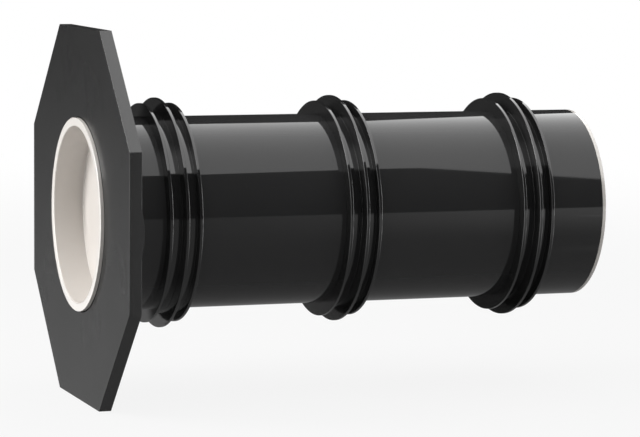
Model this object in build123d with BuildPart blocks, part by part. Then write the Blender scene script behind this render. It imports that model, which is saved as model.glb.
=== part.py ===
"""Puddle flange pipe: a 110 mm wall sleeve that is cast into a concrete wall.

The sleeve is a plain pipe. An octagonal plate at its front end is fixed to the formwork, three
water stops with three webs each grip the concrete, and a push-in cap closes each end.

All sizes are in millimetres. X runs along the pipe, away from the plate's outer face. Z is up.
The origin is on the pipe's axis, in the plane of the plate's outer face.
"""

import os

from build123d import *

# Pipe
pipe_length = 300.0
pipe_diameter = 110.0
pipe_wall = 3.2
pipe_bore_chamfer = 0.4

# Formwork plate
plate_across_flats = 212.0
plate_sides = 8
plate_thickness = 7.0
plate_edge_chamfer = 0.1
plate_hole_clearance = 0.15
plate_hole_chamfer = 0.5

# Low rounded lug on the back of the plate, at the middle of the flat that faces -Y
lug_length = 27.0
lug_height = 1.5
lug_depth = 3.0

# Water stops: a band round the pipe with a web at each end and a taller one in the middle
stop_names = ("water_stop_front", "water_stop_middle", "water_stop_rear")
stop_front_distance = 45.2
stop_rear_distance = 43.2
stop_clearance = 0.05
band_height = 2.5
web_thickness = 1.8
web_spacing = 8.6
side_web_height = 7.6
middle_web_height = 10.7
web_tip_round = 0.3
web_root_round = 0.15

# Push-in caps: a cup inside the pipe, with a lip that covers the pipe's end
cap_lip_thickness = 2.1
cap_lip_chamfer = 0.25
cap_mouth_round = 0.7
cap_recess_depth = 17.7
cap_floor_thickness = 1.8
cap_floor_round = 0.5
cap_wall = 1.2
cap_bead_height = 0.4
cap_bead_width = 1.8
cap_bead_slope = 40.0
cap_bead_places = (5.0, 11.5)
cap_clearance = 0.1
cap_nose_chamfer = 0.6

# Values that follow from the sizes above
pipe_radius = pipe_diameter / 2
bore_radius = pipe_radius - pipe_wall
lip_radius = pipe_radius
plate_hole_radius = pipe_radius + plate_hole_clearance
cap_bead_radius = bore_radius - cap_clearance
cap_wall_radius = cap_bead_radius - cap_bead_height
cap_recess_radius = cap_wall_radius - cap_wall
cap_floor_place = cap_recess_depth - cap_lip_thickness
cap_nose_place = cap_floor_place + cap_floor_thickness
band_radius = pipe_radius + band_height
side_web_radius = pipe_radius + side_web_height
middle_web_radius = pipe_radius + middle_web_height
band_width = 2 * web_spacing + web_thickness
stop_bore_radius = pipe_radius + stop_clearance
stop_pitch = (pipe_length - stop_front_distance - stop_rear_distance) / (len(stop_names) - 1)

# A rectangle drawn from the middle of its foot, and one drawn from its lower left corner
from_foot = (Align.CENTER, Align.MIN)
from_corner = (Align.MIN, Align.MIN)

os.makedirs("parts", exist_ok=True)


def finish(builder, name):
    """Label a finished piece and write it under its own name."""
    builder.part.label = name
    export_step(builder.part, f"parts/{name}.step")


# The pipe: a plain tube, with the inner edges of both ends eased so that a cap slides in.
with BuildPart() as pipe_body:
    with BuildSketch(Plane.YZ):
        Circle(pipe_radius)
        Circle(bore_radius, mode=Mode.SUBTRACT)
    extrude(amount=pipe_length)
    end_edges = pipe_body.edges().filter_by(GeomType.CIRCLE)
    chamfer(end_edges.filter_by(lambda edge: edge.radius < pipe_radius), pipe_bore_chamfer)

finish(pipe_body, "pipe_body")


# The formwork plate: a regular octagon with a flat on top, a hole for the pipe and one low lug.
# Both edges of the hole are chamfered, which leaves a thin dark ring round the cap's lip.
with BuildPart() as formwork_plate:
    with BuildSketch(Plane.YZ):
        RegularPolygon(
            radius=plate_across_flats / 2,
            side_count=plate_sides,
            major_radius=False,
            rotation=180 / plate_sides,
        )
    extrude(amount=plate_thickness)
    chamfer(formwork_plate.edges(), plate_edge_chamfer)
    with BuildSketch(Plane.XZ.offset(plate_across_flats / 2)):
        with BuildLine():
            lug_foot = (plate_thickness - plate_edge_chamfer, -lug_length / 2)
            lug_crown = (plate_thickness + lug_height, 0)
            lug_head = (plate_thickness - plate_edge_chamfer, lug_length / 2)
            ThreePointArc(lug_foot, lug_crown, lug_head)
            Line(lug_head, lug_foot)
        make_face()
    extrude(amount=-lug_depth)
    with BuildSketch(Plane.YZ):
        Circle(plate_hole_radius)
    extrude(amount=plate_thickness, mode=Mode.SUBTRACT)
    round_edges = formwork_plate.edges().filter_by(GeomType.CIRCLE)
    hole_edges = round_edges.filter_by(lambda edge: abs(edge.radius - plate_hole_radius) < 0.01)
    chamfer(hole_edges, plate_hole_chamfer)

finish(formwork_plate, "formwork_plate")


# The water stops: an E-shaped section turned round the pipe. The webs at the two ends of the
# band are flush with it, and the one in the middle stands higher. They are evenly spaced.
for number, name in enumerate(stop_names):
    middle = stop_front_distance + number * stop_pitch
    middle_foot = (middle, stop_bore_radius)
    side_feet = [(middle + side * web_spacing, stop_bore_radius) for side in (-1, 1)]
    with BuildPart() as water_stop:
        with BuildSketch(Plane.XY) as section:
            with Locations(middle_foot):
                Rectangle(band_width, band_radius - stop_bore_radius, align=from_foot)
                Rectangle(web_thickness, middle_web_radius - stop_bore_radius, align=from_foot)
            with Locations(*side_feet):
                Rectangle(web_thickness, side_web_radius - stop_bore_radius, align=from_foot)
            corners = section.vertices()
            root_corners = corners.filter_by(lambda v: abs(v.Y - band_radius) < 0.01)
            tip_corners = corners.filter_by(lambda v: v.Y > band_radius + 0.01)
            fillet(root_corners, web_root_round)
            fillet(tip_corners, web_tip_round)
        revolve(axis=Axis.X)
    finish(water_stop, name)


# The caps: each is a thin cup turned about the axis. Its section is drawn from the pipe's end
# inwards, so the same lines serve both ends, and the lip lies flush with the pipe's outside.
cap_planes = {
    "end_cap_front": Plane(origin=(0, 0, 0), x_dir=(1, 0, 0), z_dir=(0, 0, 1)),
    "end_cap_rear": Plane(origin=(pipe_length, 0, 0), x_dir=(-1, 0, 0), z_dir=(0, 0, -1)),
}
for name, cap_plane in cap_planes.items():
    with BuildPart() as end_cap:
        with BuildSketch(cap_plane) as section:
            with Locations((-cap_lip_thickness, cap_recess_radius)):
                Rectangle(cap_lip_thickness, lip_radius - cap_recess_radius, align=from_corner)
                Rectangle(cap_lip_thickness + cap_nose_place, cap_wall, align=from_corner)
            with Locations((cap_floor_place, 0)):
                Rectangle(cap_floor_thickness, cap_wall_radius, align=from_corner)
            corners = section.vertices()
            mouth_corner = corners.sort_by_distance((-cap_lip_thickness, cap_recess_radius))[0]
            floor_corner = corners.sort_by_distance((cap_floor_place, cap_recess_radius))[0]
            nose_corner = corners.sort_by_distance((cap_nose_place, cap_wall_radius))[0]
            lip_corners = corners.filter_by(lambda v: abs(v.Y - lip_radius) < 0.01)
            fillet(mouth_corner, cap_mouth_round)
            fillet(floor_corner, cap_floor_round)
            chamfer(lip_corners, cap_lip_chamfer)
            chamfer(nose_corner, cap_nose_chamfer)
            for place in cap_bead_places:
                with Locations((place, cap_wall_radius)):
                    Trapezoid(cap_bead_width, cap_bead_height, cap_bead_slope, align=from_foot)
        revolve(axis=Axis.X)
    finish(end_cap, name)
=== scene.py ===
# %% [markdown]
# # A wall sleeve with water stops, modelled and lit in Blender
# This lesson dresses a plain CAD model of a wall sleeve: a black pipe that is cast into a concrete
# wall. The CAD model gives every size and place. Here each part is modelled again with clean, round
# meshes and gets a finish, because a glossy black surface shows every facet of a coarse mesh.

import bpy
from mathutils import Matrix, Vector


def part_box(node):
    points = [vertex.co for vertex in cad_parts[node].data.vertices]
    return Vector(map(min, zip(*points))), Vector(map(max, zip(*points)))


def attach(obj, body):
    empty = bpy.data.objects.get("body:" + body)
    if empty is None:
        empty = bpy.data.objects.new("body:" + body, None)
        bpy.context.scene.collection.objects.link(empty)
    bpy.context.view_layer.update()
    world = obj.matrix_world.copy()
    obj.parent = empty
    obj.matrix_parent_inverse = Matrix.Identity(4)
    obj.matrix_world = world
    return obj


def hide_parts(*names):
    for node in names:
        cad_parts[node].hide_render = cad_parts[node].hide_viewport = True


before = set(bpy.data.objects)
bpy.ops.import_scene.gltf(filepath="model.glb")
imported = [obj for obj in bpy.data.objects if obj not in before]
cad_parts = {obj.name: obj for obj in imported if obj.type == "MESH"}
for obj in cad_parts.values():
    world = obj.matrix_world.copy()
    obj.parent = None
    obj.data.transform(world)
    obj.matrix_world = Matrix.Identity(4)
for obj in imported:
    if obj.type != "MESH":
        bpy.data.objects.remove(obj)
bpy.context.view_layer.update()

# %% Modules and units
from math import atan, cos, degrees, hypot, pi, radians

import bmesh
import bpy
from mathutils import Matrix, Vector

mm = 0.001
scene = bpy.context.scene

# %% [markdown]
# ## Sizes
# X runs along the pipe, away from the plate's outer face, and Z is up. Most sizes come from the CAD
# model's boxes. The ones that a box can't show, such as a wall or a web, are named here.

# %% Sizes of the real parts
pipe_low, pipe_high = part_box("pipe_body")
plate_low, plate_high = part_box("formwork_plate")
front_cap_low, front_cap_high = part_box("end_cap_front")
rear_cap_low, rear_cap_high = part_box("end_cap_rear")

pipe_radius = 55 * mm
pipe_length = pipe_high.x - pipe_low.x
pipe_wall = 3.2 * mm
pipe_end_round = 0.4 * mm

plate_across_flats = plate_high.z - plate_low.z
plate_thickness = 7 * mm
plate_edge_round = 0.1 * mm
plate_hole_clearance = 0.15 * mm
plate_hole_chamfer = 0.5 * mm
lug_length = 27 * mm
lug_height = 1.5 * mm
lug_depth = 3 * mm

stop_clearance = 0.05 * mm
band_height = 2.5 * mm
web_thickness = 1.8 * mm
web_spacing = 8.6 * mm
side_web_height = 7.6 * mm
middle_web_height = 10.7 * mm
web_tip_round = 0.3 * mm
web_root_round = 0.15 * mm

cap_lip_thickness = -front_cap_low.x
cap_lip_round = 0.25 * mm
cap_mouth_round = 0.7 * mm
cap_recess_depth = 17.7 * mm
cap_recess_radius = 50.1 * mm
cap_wall = 1.2 * mm
cap_floor_thickness = 1.8 * mm
cap_floor_round = 0.5 * mm
cap_nose_round = 0.6 * mm
cap_bead_height = 0.4 * mm
cap_bead_foot = 1.8 * mm
cap_bead_crown = 0.85 * mm
cap_bead_places = (5 * mm, 11.5 * mm)

print("pipe", pipe_length / mm, "mm long, octagon", plate_across_flats / mm, "mm across its flats")

# %% [markdown]
# ## The camera
# The picture was taken with a long lens, from the left of the pipe and a little above it, so that
# both the plate's face and the pipe's whole side show. A lens keeps its angle of view when its
# length and the sensor's width are scaled together, so the length is worked out for Blender's
# sensor of 36 mm.

# %% Camera
camera_place = Vector((-433.0, -1653.1, 179.7)) * mm
camera_turn_right = radians(19.265)
camera_tilt_down = radians(6.06)
camera_roll = radians(0.49)
camera_lens = 169.95
camera_reach = 100
sensor_width = 36

bpy.ops.object.select_all(action="DESELECT")
bpy.ops.object.camera_add(location=camera_place)
camera = bpy.context.object
camera.name = "camera"
heading = Matrix.Rotation(-camera_turn_right, 3, "Z")
tilt = Matrix.Rotation(pi / 2 - camera_tilt_down, 3, "X")
roll = Matrix.Rotation(camera_roll, 3, "Z")
camera.rotation_euler = (heading @ tilt @ roll).to_euler()
camera.data.lens = camera_lens
camera.data.clip_end = camera_reach
scene.camera = camera
angle_of_view = 2 * atan(sensor_width / 2 / camera_lens)
print("the camera sees", round(degrees(angle_of_view), 2), "degrees across")

# %% [markdown]
# ## Helpers for modelling
# Modelling operators work on what is selected. These helpers deselect everything before a new
# primitive, put its place into its mesh, and choose vertices, edges or faces by where they are.

# %% Start, open and close a mesh
near = 0.01 * mm
merge_distance = near / 10
smooth_angle = radians(40)


def clear_selection():
    """Leaves edit mode and deselects every object."""
    if bpy.context.mode != "OBJECT":
        bpy.ops.object.mode_set(mode="OBJECT")
    bpy.ops.object.select_all(action="DESELECT")


def pick(piece):
    """Makes the piece the only selected object."""
    clear_selection()
    piece.select_set(True)
    bpy.context.view_layer.objects.active = piece


def name_new(name):
    """Names the primitive that was just added and moves its place into its mesh."""
    piece = bpy.context.object
    piece.name = piece.data.name = name
    bpy.ops.object.transform_apply(location=True, rotation=True, scale=True)
    return piece


def add_rectangle(name, middle, length, width, rotation=(0, 0, 0)):
    """Adds a flat rectangle with its place and size in its mesh."""
    clear_selection()
    bpy.ops.mesh.primitive_plane_add(size=1, location=middle, rotation=rotation)
    bpy.context.object.scale = (length, width, 1)
    return name_new(name)


def open_mesh(piece):
    """Picks the piece and enters edit mode."""
    pick(piece)
    bpy.ops.object.mode_set(mode="EDIT")


def choose(kind, test):
    """Selects the vertices, edges or faces of the open mesh that pass the test."""
    bpy.ops.mesh.select_mode(type=kind)
    bpy.ops.mesh.select_all(action="DESELECT")
    mesh = bmesh.from_edit_mesh(bpy.context.object.data)
    elements = {"VERT": mesh.verts, "EDGE": mesh.edges, "FACE": mesh.faces}[kind]
    chosen = [element for element in elements if test(element)]
    for element in chosen:
        element.select_set(True)
    mesh.select_flush_mode()
    bmesh.update_edit_mesh(bpy.context.object.data)
    return len(chosen)


def apply_modifier(piece, kind, **settings):
    """Adds a modifier with its settings and applies it."""
    pick(piece)
    modifier = piece.modifiers.new(kind.lower(), kind)
    for setting, value in settings.items():
        setattr(modifier, setting, value)
    bpy.ops.object.modifier_apply(modifier=modifier.name)


def close_surface():
    """Merges doubles in the open mesh and turns its faces outwards."""
    bpy.ops.mesh.select_all(action="SELECT")
    bpy.ops.mesh.remove_doubles(threshold=merge_distance)
    bpy.ops.mesh.normals_make_consistent(inside=False)


def smooth(piece):
    """Shades rounded edges smooth and keeps flat faces flat."""
    pick(piece)
    bpy.ops.object.shade_smooth_by_angle(angle=smooth_angle)
    apply_modifier(piece, "WEIGHTED_NORMAL", keep_sharp=True, weight=100)
    print(piece.name, "has", len(piece.data.vertices), "vertices")


# %% [markdown]
# ## Helpers for round parts
# The pipe, the water stops and the caps are all round about the X axis. Two ways make such a part:
# a ring of edges that is extruded and scaled again and again, like clay on a wheel, or a flat
# section that is spun about the axis. Both leave rings of edges, which are found by their place
# and radius when they are rounded.

# %% Rings
ring_steps = 256
wide_round_steps = 4
tight_round_steps = 3
chamfer_steps = 1


def on_ring(vertex, x, radius):
    """Whether a vertex lies on the ring at that place and of that radius."""
    return abs(vertex.co.x - x) < near and abs(hypot(vertex.co.y, vertex.co.z) - radius) < near


def round_rings(rings, size, steps):
    """Rounds the edges of the open mesh that lie on any of the rings, each given as (x, radius)."""
    count = choose(
        "EDGE",
        lambda edge: any(all(on_ring(v, x, r) for v in edge.verts) for x, r in rings),
    )
    bpy.ops.mesh.bevel(offset=size, segments=steps, profile=0.5, affect="EDGES")
    return count


def add_ring(name, x, radius, fill="NOTHING"):
    """Adds a circle about the X axis, open or filled, and opens it for modelling."""
    clear_selection()
    bpy.ops.mesh.primitive_circle_add(
        vertices=ring_steps,
        radius=radius,
        fill_type=fill,
        location=(x, 0, 0),
        rotation=(0, pi / 2, 0),
    )
    piece = name_new(name)
    open_mesh(piece)
    choose("EDGE", lambda edge: True)
    return piece


def next_ring(x, radius):
    """Extrudes the selected ring of edges and moves the new one to that place and radius."""
    mesh = bmesh.from_edit_mesh(bpy.context.object.data)
    here = next(vertex.co.copy() for vertex in mesh.verts if vertex.select)
    growth = radius / hypot(here.y, here.z)
    bpy.ops.mesh.extrude_region_move(TRANSFORM_OT_translate={"value": (x - here.x, 0, 0)})
    bpy.ops.transform.resize(value=(1, growth, growth), center_override=(0, 0, 0))


# %% [markdown]
# ## The pipe
# The real pipe is extruded and cut to length. A circle is extruded along X in the same way,
# Solidify gives it the wall, and the inner edges of its ends are rounded, as they are cleaned up
# before a cap goes in.

# %% Model the pipe
def model_pipe():
    """A tube with rounded inner edges."""
    pipe = add_ring("pipe", 0, pipe_radius)
    next_ring(pipe_length, pipe_radius)
    close_surface()
    apply_modifier(pipe, "SOLIDIFY", thickness=pipe_wall, offset=-1, use_even_offset=True)
    open_mesh(pipe)
    bore_radius = pipe_radius - pipe_wall
    rings = [(0, bore_radius), (pipe_length, bore_radius)]
    count = round_rings(rings, pipe_end_round, tight_round_steps)
    print("rounded", count, "edges of the pipe's bore")
    close_surface()
    smooth(pipe)
    return pipe


pipe = model_pipe()

# %% [markdown]
# ## The formwork plate
# The plate is a moulded octagon. A cylinder with eight sides already has its form. Its edges are
# rounded in one go, and a Boolean cuts the hole, because a hole in a flat plate needs no edge flow.
# A chamfer on the hole's edges leaves a thin dark ring round the cap's lip. The low lug on its back
# is a thin slice of a big cylinder, cut off by a bisect.

# %% Model the lug
def add_disc(name, radius, length, place, rotation, sides=ring_steps):
    """Adds a cylinder with its place in its mesh."""
    clear_selection()
    bpy.ops.mesh.primitive_cylinder_add(
        vertices=sides,
        radius=radius,
        depth=length,
        location=place,
        rotation=rotation,
    )
    return name_new(name)


def model_lug():
    """The slice of a cylinder whose chord is the lug's length and whose rise is its height."""
    foot = plate_thickness - plate_edge_round
    rise = lug_height + plate_edge_round
    half = lug_length / 2
    radius = (half**2 + rise**2) / (2 * rise)
    place = (foot + rise - radius, -(plate_across_flats - lug_depth) / 2, 0)
    lug = add_disc("lug", radius, lug_depth, place, (pi / 2, 0, 0))
    open_mesh(lug)
    bpy.ops.mesh.select_all(action="SELECT")
    bpy.ops.mesh.bisect(
        plane_co=(foot, 0, 0),
        plane_no=(1, 0, 0),
        use_fill=True,
        clear_inner=True,
    )
    close_surface()
    clear_selection()
    print("the lug is cut from a circle of", round(radius / mm, 1), "mm radius")
    return lug


lug = model_lug()

# %% Model the plate
def model_plate():
    """An octagon with rounded edges, the lug on its back and the hole for the pipe."""
    sides = 8
    corner_radius = plate_across_flats / 2 / cos(pi / sides)
    place = (plate_thickness / 2, 0, 0)
    flat_on_top = Matrix.Rotation(pi / sides, 3, "X") @ Matrix.Rotation(pi / 2, 3, "Y")
    rotation = flat_on_top.to_euler()
    plate = add_disc("plate", corner_radius, plate_thickness, place, rotation, sides)
    open_mesh(plate)
    bpy.ops.mesh.select_all(action="SELECT")
    bpy.ops.mesh.bevel(
        offset=plate_edge_round,
        segments=tight_round_steps,
        profile=0.5,
        affect="EDGES",
    )
    close_surface()
    apply_modifier(plate, "BOOLEAN", operation="UNION", object=lug)
    hole_radius = pipe_radius + plate_hole_clearance
    cutter_length = 3 * plate_thickness
    cutter = add_disc("cutter", hole_radius, cutter_length, place, (0, pi / 2, 0))
    apply_modifier(plate, "BOOLEAN", operation="DIFFERENCE", object=cutter)
    for helper in (cutter, lug):
        bpy.data.objects.remove(helper)
    open_mesh(plate)
    rings = [(0, hole_radius), (plate_thickness, hole_radius)]
    count = round_rings(rings, plate_hole_chamfer, chamfer_steps)
    print("chamfered", count, "edges of the plate's hole")
    close_surface()
    smooth(plate)
    return plate


plate = model_plate()
print("the plate reaches down to", min(v.co.z for v in plate.data.vertices) / mm, "mm")

# %% [markdown]
# ## The water stops
# Each water stop is a moulded ring with an E-shaped section: a low band with two thin webs at its
# ends and a taller one in the middle. The section is modelled flat: a rectangle is bisected where
# the webs stand, and the short edges between the cuts are extruded upwards. Then its outline is
# spun about the pipe's axis, and the rings at the tips and roots of the webs are rounded.

# %% Model the section of a water stop
stop_bore_radius = pipe_radius + stop_clearance
band_radius = pipe_radius + band_height
web_half = web_thickness / 2
band_half = web_spacing + web_half
web_places = (-web_spacing, 0, web_spacing)
straight_angle = radians(1)


def web_radius(place):
    """How far out the web at that place reaches."""
    return pipe_radius + (middle_web_height if place == 0 else side_web_height)


def model_stop_section():
    """The flat section: the band, cut where the webs stand, with a web on each cut."""
    middle = (0, 0, (stop_bore_radius + band_radius) / 2)
    thickness = band_radius - stop_bore_radius
    section = add_rectangle("water_stop", middle, 2 * band_half, thickness, (pi / 2, 0, 0))
    open_mesh(section)
    inner_cuts = [place + side * web_half for place in web_places for side in (-1, 1)]
    for cut in inner_cuts[1:-1]:
        bpy.ops.mesh.select_all(action="SELECT")
        bpy.ops.mesh.bisect(plane_co=(cut, 0, 0), plane_no=(1, 0, 0))
    for place in web_places:
        choose(
            "EDGE",
            lambda edge: all(
                abs(v.co.z - band_radius) < near and abs(v.co.x - place) < web_half + near
                for v in edge.verts
            ),
        )
        height = web_radius(place) - band_radius
        bpy.ops.mesh.extrude_region_move(TRANSFORM_OT_translate={"value": (0, 0, height)})
    bpy.ops.mesh.select_all(action="SELECT")
    bpy.ops.mesh.dissolve_limited(angle_limit=straight_angle)
    return section


stop = model_stop_section()
bpy.ops.object.mode_set(mode="OBJECT")
print("the section has", len(stop.data.vertices), "corners and", len(stop.data.polygons), "face")

# %% Spin the section and round its rings
def spin_section(section):
    """Spins the section's outline a whole turn about the X axis."""
    open_mesh(section)
    bpy.ops.mesh.select_all(action="SELECT")
    bpy.ops.mesh.delete(type="ONLY_FACE")
    bpy.ops.mesh.select_all(action="SELECT")
    bpy.ops.mesh.spin(steps=ring_steps, angle=2 * pi, center=(0, 0, 0), axis=(1, 0, 0))
    close_surface()


def model_stop(section):
    """Spins the section and rounds the tips and roots of its webs."""
    spin_section(section)
    tips = [(place + side * web_half, web_radius(place)) for place in web_places for side in (-1, 1)]
    roots = [(side * (web_spacing - web_half), band_radius) for side in (-1, 1)]
    roots += [(side * web_half, band_radius) for side in (-1, 1)]
    tip_count = round_rings(tips, web_tip_round, wide_round_steps)
    root_count = round_rings(roots, web_root_round, tight_round_steps)
    print("rounded", tip_count, "edges at the webs' tips and", root_count, "at their roots")
    close_surface()
    smooth(section)


model_stop(stop)

# %% [markdown]
# One water stop is modelled, and the three on the pipe are copies with meshes of their own. Each
# copy is moved to the middle of its CAD part, inside its mesh.

# %% Copy the water stop
def copy_of(piece, name, change):
    """A copy of a piece with its own mesh, changed by a matrix."""
    copy = piece.copy()
    copy.data = piece.data.copy()
    copy.name = copy.data.name = name
    scene.collection.objects.link(copy)
    copy.data.transform(change)
    return copy


stops = {}
for node in ("water_stop_front", "water_stop_middle", "water_stop_rear"):
    low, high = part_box(node)
    middle = (low.x + high.x) / 2
    name = node.replace("water_stop", "stop")
    stops[node] = copy_of(stop, name, Matrix.Translation((middle, 0, 0)))
    print(stops[node].name, "stands", round(middle / mm, 1), "mm along the pipe")
bpy.data.objects.remove(stop)

# %% [markdown]
# ## The end caps
# A cap is a cream cup that is pushed into the pipe, and its lip covers the pipe's end. It is drawn
# ring by ring, starting from the round floor of the recess: out along the recess, over the rim,
# back along the outside of the cup over two low beads, and closed at its back.

# %% Model a cap
def model_cap():
    """A closed cup with a lip and two beads, drawn ring by ring."""
    outer_radius = pipe_radius
    wall_radius = cap_recess_radius + cap_wall
    floor_place = cap_recess_depth - cap_lip_thickness
    nose_place = floor_place + cap_floor_thickness
    cap = add_ring("cap_front", floor_place, cap_recess_radius, fill="NGON")
    next_ring(-cap_lip_thickness, cap_recess_radius)
    next_ring(-cap_lip_thickness, outer_radius)
    next_ring(0, outer_radius)
    next_ring(0, wall_radius)
    for place in cap_bead_places:
        for along, height in (
            (-cap_bead_foot / 2, 0),
            (-cap_bead_crown / 2, cap_bead_height),
            (cap_bead_crown / 2, cap_bead_height),
            (cap_bead_foot / 2, 0),
        ):
            next_ring(place + along, wall_radius + height)
    next_ring(nose_place, wall_radius)
    bpy.ops.mesh.edge_face_add()
    close_surface()
    rounds = [
        ([(-cap_lip_thickness, cap_recess_radius)], cap_mouth_round),
        ([(floor_place, cap_recess_radius)], cap_floor_round),
        ([(-cap_lip_thickness, outer_radius), (0, outer_radius)], cap_lip_round),
        ([(nose_place, wall_radius)], cap_nose_round),
    ]
    for rings, size in rounds:
        count = round_rings(rings, size, wide_round_steps)
        print("rounded", count, "edges of the cap by", size / mm, "mm")
    close_surface()
    smooth(cap)
    return cap


cap_front = model_cap()

# %% [markdown]
# The cap at the far end is the same moulding, the other way round. A mirrored copy has its faces
# inside out, so its normals are worked out again.

# %% Mirror the cap to the far end
mirrored = Matrix.Translation((pipe_length, 0, 0)) @ Matrix.Diagonal((-1, 1, 1, 1))
cap_rear = copy_of(cap_front, "cap_rear", mirrored)
open_mesh(cap_rear)
close_surface()
clear_selection()
smooth(cap_rear)
print("the far lip ends at", max(v.co.x for v in cap_rear.data.vertices) / mm, "mm")

# %% [markdown]
# ## Helpers for finishes
# A material is a tree of nodes. `Number` wraps a socket that carries one number, so that an
# expression such as `0.05 + 0.02 * noise` adds its own Math nodes. `Tree` adds any other node from
# its type, its settings and the values or links of its sockets.

# %% Shader maths
def plain(value):
    """The socket inside a Number, or the value itself."""
    return value.socket if isinstance(value, Number) else value


class Number:
    """A socket that carries one number. Sums and products with it add Math nodes."""

    def __init__(self, tree, socket):
        self.tree = tree
        self.socket = socket

    def combine(self, operation, first, second):
        """The result of a Math node."""
        node = self.tree.add("ShaderNodeMath", {"operation": operation}, {0: first, 1: second})
        return self.tree.number(node)

    def __add__(self, other):
        return self.combine("ADD", self, other)

    def __radd__(self, other):
        return self.combine("ADD", other, self)

    def __sub__(self, other):
        return self.combine("SUBTRACT", self, other)

    def __rsub__(self, other):
        return self.combine("SUBTRACT", other, self)

    def __mul__(self, other):
        return self.combine("MULTIPLY", self, other)

    def __rmul__(self, other):
        return self.combine("MULTIPLY", other, self)


# %% Trees of nodes
# A Mix node has sockets for numbers, for vectors and for colours. These are the ones for colours.
first_colour, second_colour, mixed_colour = 6, 7, 2
# The square of the normal's X on a surface that begins to face along X, and on one that does
begins_to_face_along, faces_along = 0.85, 0.98


class Tree:
    """The node tree of a material or of the world, emptied and ready to be filled."""

    def __init__(self, owner):
        owner.use_nodes = True
        self.nodes = owner.node_tree.nodes
        self.links = owner.node_tree.links
        self.nodes.clear()

    def add(self, kind, settings=None, sockets=None):
        """Adds a node. Its settings are set first, then each socket gets its value or link."""
        node = self.nodes.new(kind)
        for setting, value in (settings or {}).items():
            setattr(node, setting, value)
        for key, value in (sockets or {}).items():
            value = plain(value)
            if isinstance(value, bpy.types.NodeSocket):
                self.links.new(value, node.inputs[key])
            else:
                node.inputs[key].default_value = value
        return node

    def number(self, node, output=0):
        """The number that a node gives."""
        return Number(self, node.outputs[output])

    def parts_of(self, vector):
        """The X, Y and Z of a vector, as three numbers."""
        split = self.add("ShaderNodeSeparateXYZ", None, {0: vector})
        return [self.number(split, axis) for axis in "XYZ"]

    def coordinates(self, kind="Object"):
        """The place of a point of the surface, or the normal there."""
        return self.add("ShaderNodeTexCoord").outputs[kind]

    def noise(self, scale, detail=2.0, stretch=(1, 1, 1)):
        """Noise from 0 to 1, with its scale in lumps for each metre."""
        stretching = {"Vector": self.coordinates(), "Scale": stretch}
        place = self.add("ShaderNodeMapping", None, stretching).outputs["Vector"]
        sockets = {"Vector": place, "Scale": scale, "Detail": detail}
        return self.number(self.add("ShaderNodeTexNoise", None, sockets), "Fac")

    def ramp(self, value, start, end, low=0.0, high=1.0):
        """A number that turns smoothly from low to high while the value goes from start to end."""
        settings = {"interpolation_type": "SMOOTHSTEP"}
        limits = {"From Min": start, "From Max": end, "To Min": low, "To Max": high}
        return self.number(self.add("ShaderNodeMapRange", settings, {"Value": value, **limits}))

    def facing_along(self):
        """1 where the surface faces along X, and 0 where it faces away from the X axis."""
        along = self.parts_of(self.coordinates("Normal"))[0]
        return self.ramp(along * along, begins_to_face_along, faces_along)

    def blend(self, factor, first, second):
        """A colour between two colours."""
        sockets = {"Factor": factor, first_colour: (*first, 1), second_colour: (*second, 1)}
        return self.add("ShaderNodeMix", {"data_type": "RGBA"}, sockets).outputs[mixed_colour]

    def bump(self, height, distance):
        """A normal that is tilted by a height, with the full height given in metres."""
        sockets = {"Height": height, "Distance": distance}
        return self.add("ShaderNodeBump", None, sockets).outputs["Normal"]

    def plastic(self, sockets):
        """A Principled shader with the values or links of its sockets."""
        return self.add("ShaderNodeBsdfPrincipled", None, sockets)

    def mix(self, factor, first, second):
        """Two shaders: the first where the factor is 0 and the second where it is 1."""
        sockets = {"Fac": factor, 1: first.outputs[0], 2: second.outputs[0]}
        return self.add("ShaderNodeMixShader", None, sockets)

    def finish(self, shader, kind="ShaderNodeOutputMaterial"):
        """Links the shader to the tree's output."""
        self.add(kind, None, {"Surface": shader.outputs[0]})


# %% [markdown]
# ## The black pipe
# Extruded pipe comes out of its die smooth and glossy, with very faint lines along its length. The
# reflections in it are sharp, so its roughness is low, and noise that is stretched along X varies
# it a little and gives the lines a trace of height.

# %% Finish of the pipe
pipe_line_height = 0.0006 * mm


def make_pipe_finish():
    """Glossy black with faint lines along the pipe."""
    material = bpy.data.materials.new("black_extruded_plastic")
    tree = Tree(material)
    lines = tree.noise(scale=240, detail=3, stretch=(0.02, 1, 1))
    clouds = tree.noise(scale=25)
    sockets = {
        "Base Color": tree.blend(clouds, (0.022, 0.022, 0.0223), (0.025, 0.025, 0.0253)),
        "Roughness": 0.035 + 0.025 * lines,
        "IOR": 1.5,
        "Normal": tree.bump(lines, pipe_line_height),
    }
    tree.finish(tree.plastic(sockets))
    return material


pipe_finish = make_pipe_finish()
print("made", pipe_finish.name)

# %% [markdown]
# ## The black water stops
# The stops are moulded from a black plastic that shines more. Their black is painted darker than the
# pipe's, in part as painted shade for the valleys between the webs. A mould leaves no lines, only a
# slight unevenness, so their noise has the same size in all directions. The flanks of the webs come
# out of a blasted part of the mould, so they are rougher than the webs' tips and the band. Their
# black is also painted lighter, as painted light on the shaded flanks. The normal of the surface
# tells them apart, because a flank faces along the pipe.

# %% Finish of the water stops
stop_unevenness = 0.01 * mm


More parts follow.
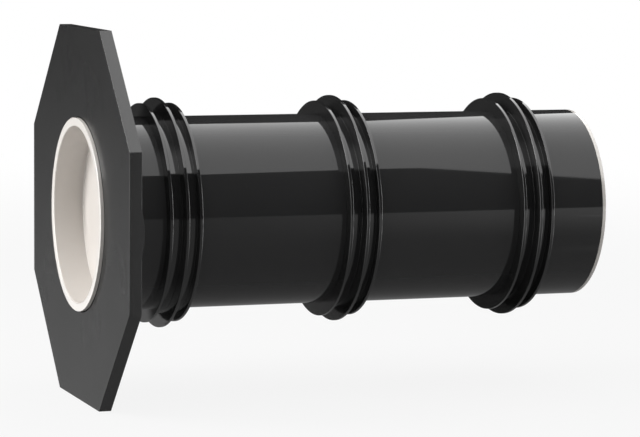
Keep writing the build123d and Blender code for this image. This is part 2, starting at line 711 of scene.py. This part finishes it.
def make_stop_finish():
    """Glossy black with painted shade on the tips and the band, and a duller black with painted
    light on the flanks of the webs.
    """
    material = bpy.data.materials.new("black_moulded_plastic")
    tree = Tree(material)
    clouds = tree.noise(scale=60)
    # The tips and the band are painted darker than the pipe, in part as painted shade for the
    # valleys between the webs.
    glossy_sockets_with_painted_shade = {
        "Base Color": tree.blend(clouds, (0.011, 0.011, 0.0113), (0.0135, 0.0135, 0.0138)),
        "Roughness": 0.05 + 0.03 * clouds,
        "IOR": 1.75,
        "Normal": tree.bump(clouds, stop_unevenness),
    }
    # The flanks are painted lighter than the band: painted light on flanks that the webs and the
    # plate shade.
    dull_sockets_with_painted_light = {
        "Base Color": tree.blend(clouds, (0.019, 0.019, 0.019), (0.022, 0.022, 0.022)),
        "Roughness": 0.15 + 0.03 * clouds,
        "IOR": 1.24,
    }
    glossy, dull = tree.plastic(glossy_sockets_with_painted_shade), tree.plastic(dull_sockets_with_painted_light)
    tree.finish(tree.mix(tree.facing_along(), glossy, dull))
    return material


stop_finish = make_stop_finish()
print("made", stop_finish.name)

# %% [markdown]
# ## The grey plate
# The plate has a satin face: a fine moulded grain scatters what it reflects, so it shows a soft
# sheen and no sharp picture of the room. The grain is noise a third of a millimetre wide. The
# plate's narrow sides face away from the pipe's axis, and are a little smoother.

# %% Finish of the plate
plate_grain_height = 0.012 * mm


def make_plate_finish():
    """Satin dark grey with a fine grain."""
    material = bpy.data.materials.new("grey_satin_plastic")
    tree = Tree(material)
    grain = tree.noise(scale=2600, detail=3)
    clouds = tree.noise(scale=18)
    sockets = {
        "Base Color": tree.blend(clouds, (0.0105, 0.0105, 0.0105), (0.013, 0.013, 0.013)),
        "Roughness": 0.2 + 0.05 * tree.facing_along() + 0.04 * clouds + 0.02 * grain,
        "IOR": 1.7,
        "Normal": tree.bump(grain, plate_grain_height),
    }
    tree.finish(tree.plastic(sockets))
    return material


plate_finish = make_plate_finish()
print("made", plate_finish.name)

# %% [markdown]
# ## The cream caps
# The caps are moulded from a pale, warm plastic. Their lip is polished and shines, and the recess
# behind it is duller and painted a little darker, as painted shade inside the recess, so two shaders
# are mixed by the distance from the axis.
# The colour varies by a hair, as in most mouldings, and the gloss a little more.

# %% Finish of the caps
cap_grain_height = 0.004 * mm
lip_inner_radius = 50.7 * mm
recess_outer_radius = 50.2 * mm


def make_cap_finish():
    """Polished cream on the lip, and a duller cream with painted shade in the recess."""
    material = bpy.data.materials.new("cream_moulded_plastic")
    tree = Tree(material)
    clouds = tree.noise(scale=45)
    grain = tree.bump(tree.noise(scale=1500), cap_grain_height)
    across, height = tree.parts_of(tree.coordinates())[1:]
    radius_squared = across * across + height * height
    # This mask makes the recess duller and carries its painted shade.
    recess = tree.ramp(radius_squared, lip_inner_radius**2, recess_outer_radius**2)
    lip_sockets = {
        "Base Color": tree.blend(clouds, (0.605, 0.576, 0.542), (0.635, 0.606, 0.572)),
        "Roughness": 0.07 + 0.04 * clouds,
        "IOR": 2.0,
        "Normal": grain,
    }
    # The recess's colour is painted darker than the lip's: painted shade inside the recess.
    recess_sockets_with_painted_shade = {
        "Base Color": tree.blend(clouds, (0.56, 0.528, 0.496), (0.59, 0.558, 0.526)),
        "Roughness": 0.2 + 0.05 * clouds,
        "IOR": 1.45,
        "Normal": grain,
    }
    tree.finish(tree.mix(recess, tree.plastic(lip_sockets), tree.plastic(recess_sockets_with_painted_shade)))
    return material


cap_finish = make_cap_finish()
print("made", cap_finish.name)

# %% [markdown]
# ## Dress the parts
# Each new piece gets its finish, rides on the CAD model's one body and stands in for its CAD part.

# %% Put the pieces in the frame
def dress(piece, node, finish):
    """Gives the piece its finish and ties it to the CAD part that it stands for."""
    piece.data.materials.clear()
    piece.data.materials.append(finish)
    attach(piece, "root")
    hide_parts(node)
    print(piece.name, "stands in for", node)


dress(pipe, "pipe_body", pipe_finish)
dress(plate, "formwork_plate", plate_finish)
for node, piece in stops.items():
    dress(piece, node, stop_finish)
dress(cap_front, "end_cap_front", cap_finish)
dress(cap_rear, "end_cap_rear", cap_finish)

# %% [markdown]
# ## The white background
# The world is plain white for the camera, at a strength of 1, and a dim grey for the light that it
# sends on the object. A Light Path node tells the two kinds of ray apart.

# %% World
plain_white = (1, 1, 1, 1)
fill_level = 0.06


def seen_directly(tree):
    """1 for a ray from the camera, off a gloss or through glass, and 0 for any other."""
    path = tree.add("ShaderNodeLightPath")
    rays = ("Is Camera Ray", "Is Glossy Ray", "Is Transmission Ray")
    camera_ray, glossy_ray, transmission_ray = (tree.number(path, ray) for ray in rays)
    return camera_ray + glossy_ray + transmission_ray


def make_world():
    """A world that is white to look at and dim as a light."""
    world = bpy.data.worlds.new("studio")
    tree = Tree(world)
    white = tree.add("ShaderNodeBackground", None, {"Color": plain_white, "Strength": 1})
    fill = tree.add("ShaderNodeBackground", None, {"Color": plain_white, "Strength": fill_level})
    tree.finish(tree.mix(seen_directly(tree), fill, white), "ShaderNodeOutputWorld")
    return world


scene.world = make_world()
print("the world fills the shade at a level of", fill_level)

# %% [markdown]
# ## The floor
# The floor is pale, and the plate's lowest side stands on it. For the camera, most of its light
# comes from a glow of strength 1, which is plain white, and the rest is lit in the normal way, so
# the floor keeps a soft shadow of the object. Away from the object the glow takes over.

# %% Floor
floor_half = 30
floor_glow = 0.88
floor_paint = (0.35, 0.35, 0.35, 1)
floor_fade_start = 0.5
floor_fade_end = 1.6
floor_height = plate_low.z


def make_floor_finish():
    """Pale paint that fades into plain white away from the object."""
    material = bpy.data.materials.new("pale_floor")
    tree = Tree(material)
    paint = tree.add("ShaderNodeBsdfDiffuse", None, {"Color": floor_paint})
    glow = tree.add("ShaderNodeEmission", None, {"Color": plain_white, "Strength": 1})
    object_middle = (pipe_length / 2, 0, floor_height)
    ends = {0: tree.coordinates(), 1: object_middle}
    from_middle = tree.add("ShaderNodeVectorMath", {"operation": "DISTANCE"}, ends)
    distance = tree.number(from_middle, "Value")
    fade = tree.ramp(distance, floor_fade_start, floor_fade_end, floor_glow, 1.0)
    tree.finish(tree.mix(fade * seen_directly(tree), paint, glow))
    return material


floor = add_rectangle("floor", (0, 0, floor_height), 2 * floor_half, 2 * floor_half)
floor.data.materials.append(make_floor_finish())
print("the floor lies at", round(floor_height / mm, 2), "mm")

# %% [markdown]
# ## The studio
# A glossy black object shows the studio more than itself. Here one big softbox hangs over it, and
# its reflection is the bright band along the top of the pipe. A white card stands at each side and
# lights the plate's face and the far end. All the rest of the room is a dark dome with a grey
# ground and two narrow bright strips, which draw the fine lines on the webs' edges. The dome shows
# only in reflections. It neither lights nor shades anything.

# %% Panels that glow
def make_glow(name, strength):
    """A material that glows at a strength, which may be a function of a new tree."""
    material = bpy.data.materials.new(name)
    tree = Tree(material)
    level = strength(tree) if callable(strength) else strength
    tree.finish(tree.add("ShaderNodeEmission", None, {"Color": plain_white, "Strength": level}))
    return material


def hang(panel, strength, lights=True):
    """Gives a panel its glow, hides it from the camera, and says whether it lights the object."""
    panel.data.materials.append(make_glow(panel.name + "_glow", strength))
    panel.visible_camera = False
    panel.visible_transmission = lights
    panel.visible_diffuse = lights
    panel.visible_shadow = False


# %% [markdown]
# The softbox is a panel with a waist, because the bright band on the pipe is narrowest there. Its
# left end is bright in front, where the polished lip shows it, and dim behind.

# %% Form of the softbox
softbox_height = 1.2
softbox_waist_left, softbox_waist_right = 0.70, 0.76
softbox_waist_front, softbox_back = -0.95, 1.15
softbox_left_edges = ((0.5, -1.03), (-0.7, -1.05))
softbox_right_edge = (1.95, -3.05, 3.05)


def move_selected_edge(x, front, back):
    """Extrudes the selected edge to x and stretches it from front to back."""
    mesh = bmesh.from_edit_mesh(bpy.context.object.data)
    ends = sorted((v.co.copy() for v in mesh.verts if v.select), key=lambda co: co.y)
    shift = (x - ends[0].x, (front + back - ends[0].y - ends[1].y) / 2, 0)
    bpy.ops.mesh.extrude_region_move(TRANSFORM_OT_translate={"value": shift})
    growth = (back - front) / (ends[1].y - ends[0].y)
    middle = (x, (front + back) / 2, softbox_height)
    bpy.ops.transform.resize(value=(1, growth, 1), center_override=middle)


def model_softbox():
    """The waist is a rectangle, and its short edges are extruded to the left and to the right."""
    middle_x = (softbox_waist_left + softbox_waist_right) / 2
    middle_y = (softbox_waist_front + softbox_back) / 2
    length = softbox_waist_right - softbox_waist_left
    width = softbox_back - softbox_waist_front
    panel = add_rectangle("softbox_overhead", (middle_x, middle_y, softbox_height), length, width)
    open_mesh(panel)
    choose("EDGE", lambda edge: all(v.co.x < softbox_waist_left + near for v in edge.verts))
    for x, front in softbox_left_edges:
        move_selected_edge(x, front, softbox_back)
    choose("EDGE", lambda edge: all(v.co.x > softbox_waist_right - near for v in edge.verts))
    move_selected_edge(*softbox_right_edge)
    clear_selection()
    return panel


softbox = model_softbox()
print("the softbox has", len(softbox.data.polygons), "faces")

# %% Light of the softbox
softbox_front_level = 1.68
softbox_rise = 1.05
softbox_left_back_share = 0.45
softbox_left_front_share = 1.75


def softbox_level(tree):
    """Brighter towards the far side, where the softbox's lamp is, and uneven at its left end."""
    along, across = tree.parts_of(tree.coordinates())[:2]
    level = softbox_front_level + softbox_rise * tree.ramp(across, start=-0.6, end=1.6)
    back_share, front_share = softbox_left_back_share, softbox_left_front_share
    left_share = tree.ramp(across, start=0, end=-0.5, low=back_share, high=front_share)
    return level * tree.ramp(along, start=0, end=0.3, low=left_share, high=1)


hang(softbox, softbox_level)
print("the softbox glows at", softbox_front_level, "in front, and more behind")

# %% [markdown]
# The cards at the left and right are bent like an L, so that they light the object from below too.

# %% The white cards at the left and right
card_left_level = 8.8
card_right_level = 0.95
card_sink = 1 * mm


def hang_card(name, level, foot, edge, front, back, height):
    """A white card that lies on the floor from foot to edge, and stands up there."""
    middle = ((foot + edge) / 2, (front + back) / 2, floor_height - card_sink)
    card = add_rectangle(name, middle, abs(edge - foot), back - front)
    open_mesh(card)
    choose("EDGE", lambda line: all(abs(v.co.x - edge) < near for v in line.verts))
    bpy.ops.mesh.extrude_region_move(TRANSFORM_OT_translate={"value": (0, 0, height)})
    clear_selection()
    hang(card, level)


hang_card("card_left", card_left_level, foot=-0.6, edge=-0.9, front=-0.1, back=0.5, height=1.4)
hang_card("card_right", card_right_level, foot=0.5, edge=0.85, front=-0.55, back=0.75, height=0.9)
print("two white cards stand beside the object")

# %% [markdown]
# A third card stands in front of the plate. It only fills the shade on the near side of the parts,
# and reflections don't show it.

# %% The fill card in front
card_front_level = 2.3
card_front_place = (0.03, -1.5, 0.5)
card_front_width = 0.55
card_front_height = 1

upright = (pi / 2, 0, 0)
card_front = add_rectangle(
    "card_front",
    card_front_place,
    card_front_width,
    card_front_height,
    upright,
)
hang(card_front, card_front_level)
card_front.visible_glossy = False
print("the fill card is", round(card_front.dimensions.x, 2), "m wide")

# %% [markdown]
# The dome is painted by direction. Its turn is the angle round the object, from straight towards
# the front (-Y) to the right (+X), and its height is the sine of the angle above the horizon. The
# plate's face shows the ground at the left, the webs' edges show the strips, and the pipe shows
# the ground in front and at the right. The floor is hidden from reflections, because the dome's
# ground stands in for it there.

# %% Levels and places of the dome
dome_radius = 12
dome_segments, dome_rings = 64, 32
cloth_level = 0.02
ground_front_level = 0.21
ground_left_level = 0.72
ground_far_level = 0.21
ground_right_level = 0.6
strip_right_level = 12.0
strip_left_level = 5.5
strip_right_turns = (36, 46, 54, 62)
strip_left_turns = (-95, -85, -52, -44)
strip_heights = (-0.8, -0.1, 0.7, 0.9)
ground_left_span = (-0.3, -0.272, 0.0, 0.15)


def between(tree, value, start, full, full_end, end):
    """A band: 0 up to start, 1 from full to full_end, and 0 again after end."""
    return tree.ramp(value, start, full) * tree.ramp(value, end, full_end)


# %% The dark dome
def dome_level(tree):
    """Dark cloth over a grey ground, with a bright strip at the left and at the right."""
    normalize = {"operation": "NORMALIZE"}
    unit = tree.add("ShaderNodeVectorMath", normalize, {0: tree.coordinates()})
    along, across, height = tree.parts_of(unit.outputs["Vector"])
    turn = along.combine("ARCTAN2", along, 0 - across)
    behind = tree.ramp(across, start=-0.3, end=0.3)

    below = tree.ramp(height, start=-0.025, end=-0.045)
    right_share = tree.ramp(along, start=0.28, end=0.47) * tree.ramp(height, start=-0.6, end=0)
    front = (ground_front_level + ground_right_level * right_share) * below

    left_share = tree.ramp(along, start=-0.22, end=-0.27, low=0.15, high=2.4)
    left_share = left_share * between(tree, along, *ground_left_span)
    left = ground_left_level * left_share * tree.ramp(height, start=-0.015, end=-0.19)
    far_share = tree.ramp(along, start=0.08, end=0.2) * tree.ramp(height, start=-0.045, end=-0.09)
    back = left + ground_far_level * far_share

    strip_right = between(tree, turn, *map(radians, strip_right_turns))
    strip_left = between(tree, turn, *map(radians, strip_left_turns))
    strips = strip_right_level * strip_right + strip_left_level * strip_left
    ground = front * (1 - behind) + back * behind
    return cloth_level + ground + strips * between(tree, height, *strip_heights)


clear_selection()
bpy.ops.mesh.primitive_uv_sphere_add(
    segments=dome_segments,
    ring_count=dome_rings,
    radius=dome_radius,
)
dome = name_new("dark_dome")
hang(dome, dome_level, lights=False)
floor.visible_glossy = False
print("the dome stands", dome_radius, "m away")

# %% [markdown]
# ## Colour
# The Standard view shows colours as they are written.

# %% View
scene.view_settings.view_transform = "Standard"
